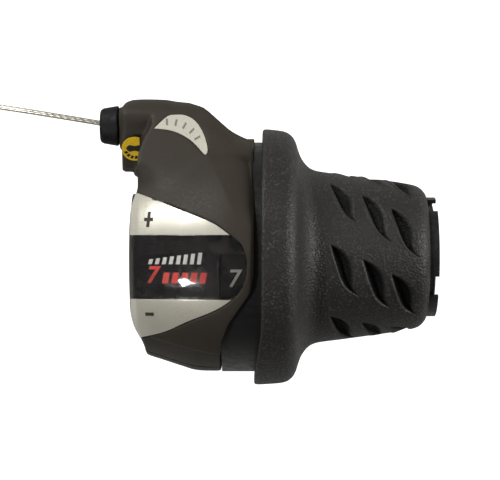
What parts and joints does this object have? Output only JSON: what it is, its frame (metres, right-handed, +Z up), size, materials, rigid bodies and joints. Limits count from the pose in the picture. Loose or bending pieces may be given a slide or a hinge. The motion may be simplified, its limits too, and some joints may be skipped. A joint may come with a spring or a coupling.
{
  "type": "bicycle twist grip shifter",
  "caption": "Twist-grip gear shifter for a handlebar: ribbed rubber grip with a flange, dark housing with a number window, clamp and a wire adjuster on a forward lobe.",
  "frame": {"origin": "on the handlebar's axis at the inboard end of the clamp collar", "axes": "+X along the handlebar towards its end, +Y forward to the wire outlet, +Z up through the gear window"},
  "size_m": [0.1804, 0.0685, 0.059],
  "materials": {
    "housing_black": "fine moulded texture, dark grey-brown",
    "drum_plastic": "smooth acetal",
    "core_plastic": "smooth nylon, black",
    "bracket_plastic": "glass-filled nylon, black",
    "rubber": "fine sparkling grain, black",
    "silver_print": "warm silver paint under a clear coat",
    "badge_silver": "silver foil",
    "label_black": "gloss black",
    "number_black": "satin black with grey numbers",
    "clear": "clear polycarbonate",
    "sticker_yellow": "yellow printed vinyl",
    "steel": "bright stranded steel",
    "steel_dark": "black oxide steel",
    "spring_steel": "spring steel",
    "brass": "turned brass",
    "liner": "white low-friction plastic",
    "knob": "satin black"
  },
  "bodies": {
    "bracket": {"bracket_core": "bracket_plastic", "clamp_bolt": "steel_dark", "clamp_nut": "steel", "upper_housing": "housing_black", "lower_housing": "housing_black", "port_cap": "knob", "housing_screws": "steel_dark", "window_lens": "clear", "upper_panel": "silver_print", "lower_panel": "silver_print", "window_label": "label_black", "crescent_badge": "badge_silver", "round_sticker": "sticker_yellow", "cable_guide": "liner", "wire_inside": "steel", "wire_tube": "steel", "wire_coil": "steel", "coil_tie": "knob", "adjuster_insert": "brass", "detent_spring": "spring_steel", "thrust_washer": "liner", "end_washer": "spring_steel", "end_clip": "spring_steel"},
    "twist_grip": {"grip_core": "core_plastic", "rubber_grip": "rubber", "cable_drum": "drum_plastic", "number_band": "number_black", "wire_nipple": "steel"},
    "adjuster_slider": {"casing_seat": "liner"},
    "adjuster_knob": {"adjuster_barrel": "knob"}
  },
  "joints": [
    {"name": "grip_twist", "type": "hinge", "parent": "bracket", "child": "twist_grip", "pos_m": [0.04, 0, 0], "axis": [1, 0, 0], "range_deg": [0, 108], "deforming": ["detent_spring"]},
    {"name": "adjuster_travel", "type": "slide", "parent": "bracket", "child": "adjuster_slider", "axis": [-1, 0, 0], "range_m": [0, 0.0024]},
    {"name": "adjuster_turn", "type": "hinge", "parent": "adjuster_slider", "child": "adjuster_knob", "pos_m": [0, 0.03, 0.006], "axis": [-1, 0, 0], "range_deg": [0, 1081]}
  ],
  "couplings": [
    {"joint": "adjuster_turn", "follows": "adjuster_travel", "rad_per_m": 7854}
  ]
}
